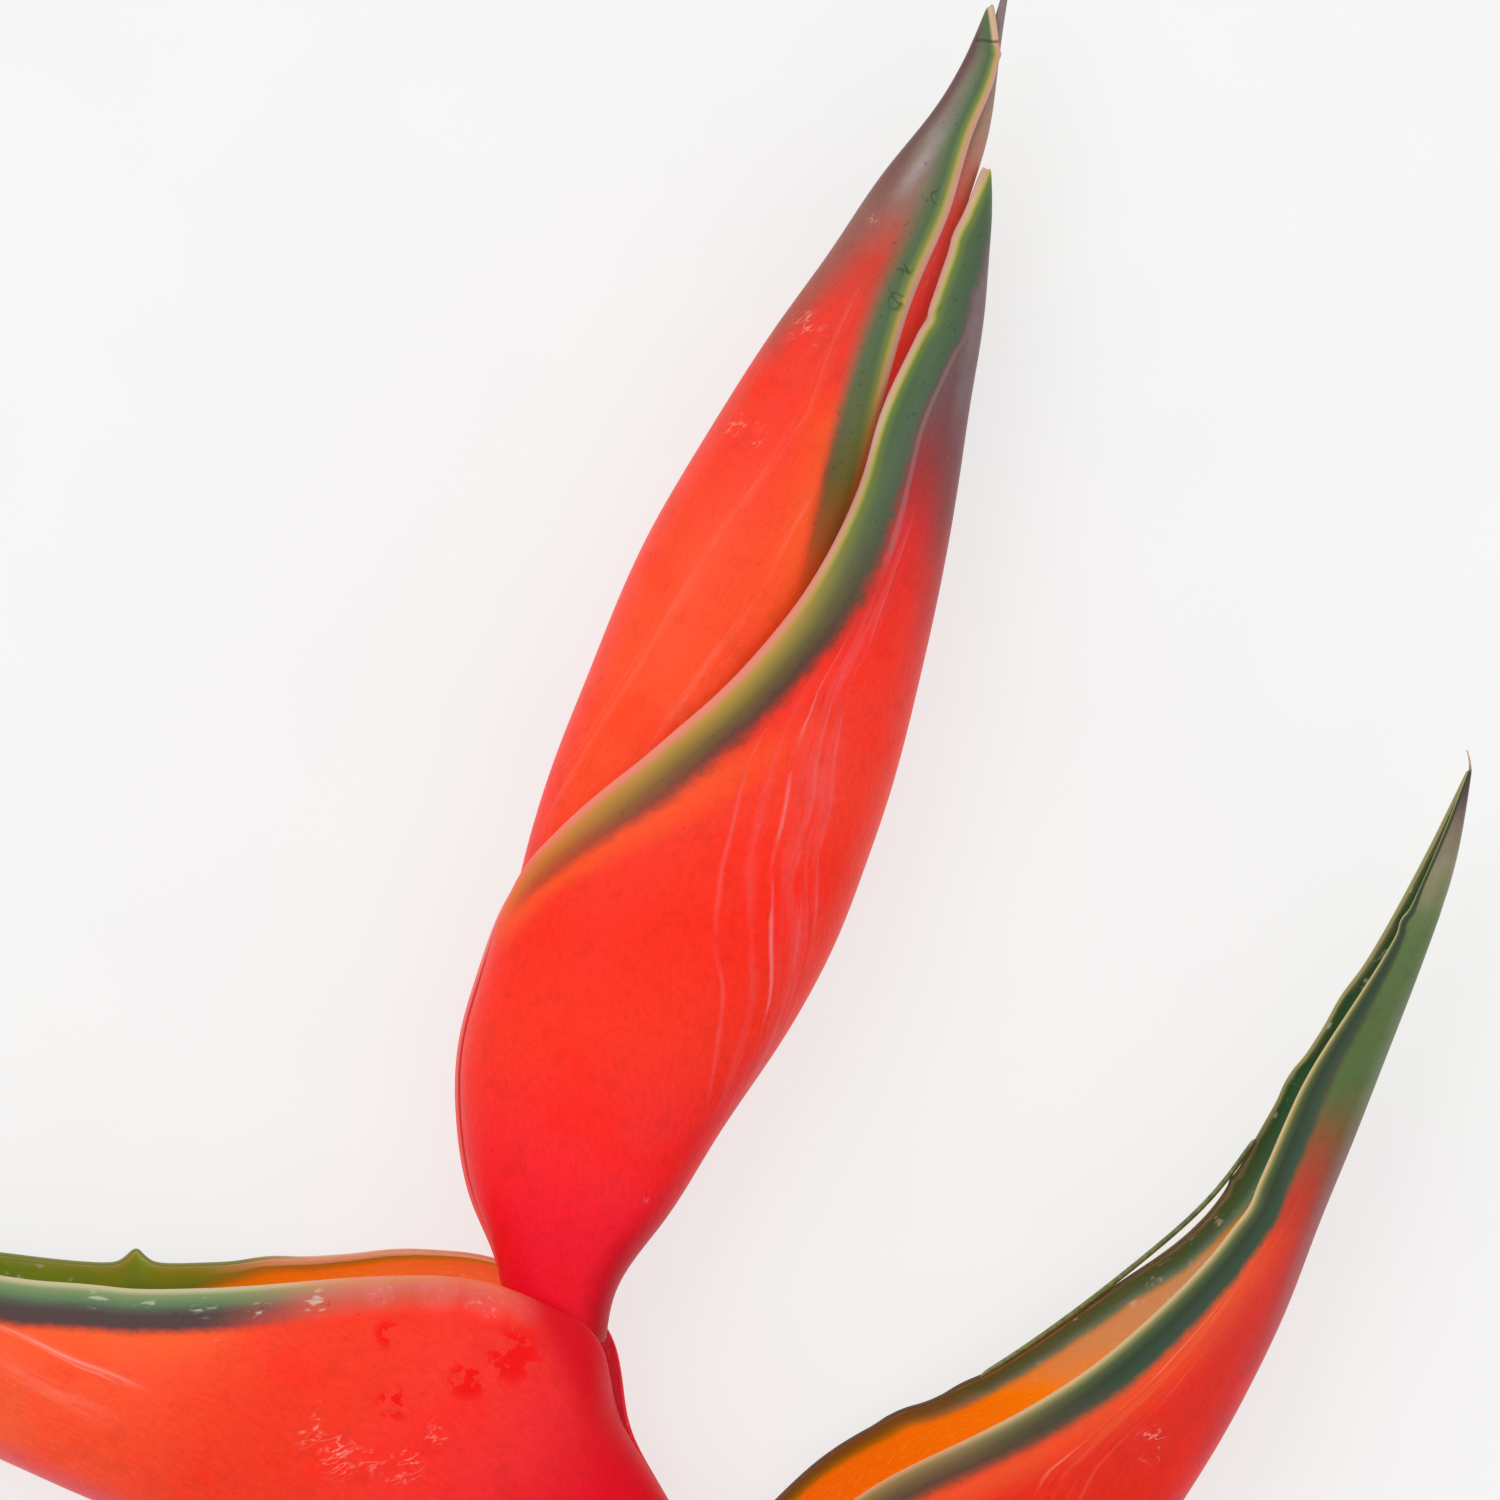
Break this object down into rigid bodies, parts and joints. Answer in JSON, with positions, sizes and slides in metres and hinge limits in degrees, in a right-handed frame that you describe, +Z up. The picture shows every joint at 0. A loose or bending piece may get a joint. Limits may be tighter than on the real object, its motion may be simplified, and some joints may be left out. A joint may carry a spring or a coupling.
{
  "type": "cut heliconia flower",
  "caption": "Cut heliconia flower head lying down: folded boat-shaped red bracts with green lips, set left and right in turn on a zigzag axis, with a length of green stem.",
  "frame": {"origin": "on the surface that the flower lies on, under the middle of its bounding box", "axes": "+Y roughly along the stem from the cut end to the flower's tip, +Z up from the surface, +X to the right as seen from above"},
  "size_m": [0.2587, 0.4701, 0.031],
  "materials": {
    "stem": "satin",
    "bract": "satin",
    "tip_bud": "satin",
    "flowers": "satin"
  },
  "bodies": {
    "root": {"stem": "stem", "bract_1": "bract", "bract_2": "bract", "bract_3": "bract", "bract_4": "bract", "tip_bud": "tip_bud", "flowers_1": "flowers", "flowers_2": "flowers"}
  },
  "joints": []
}
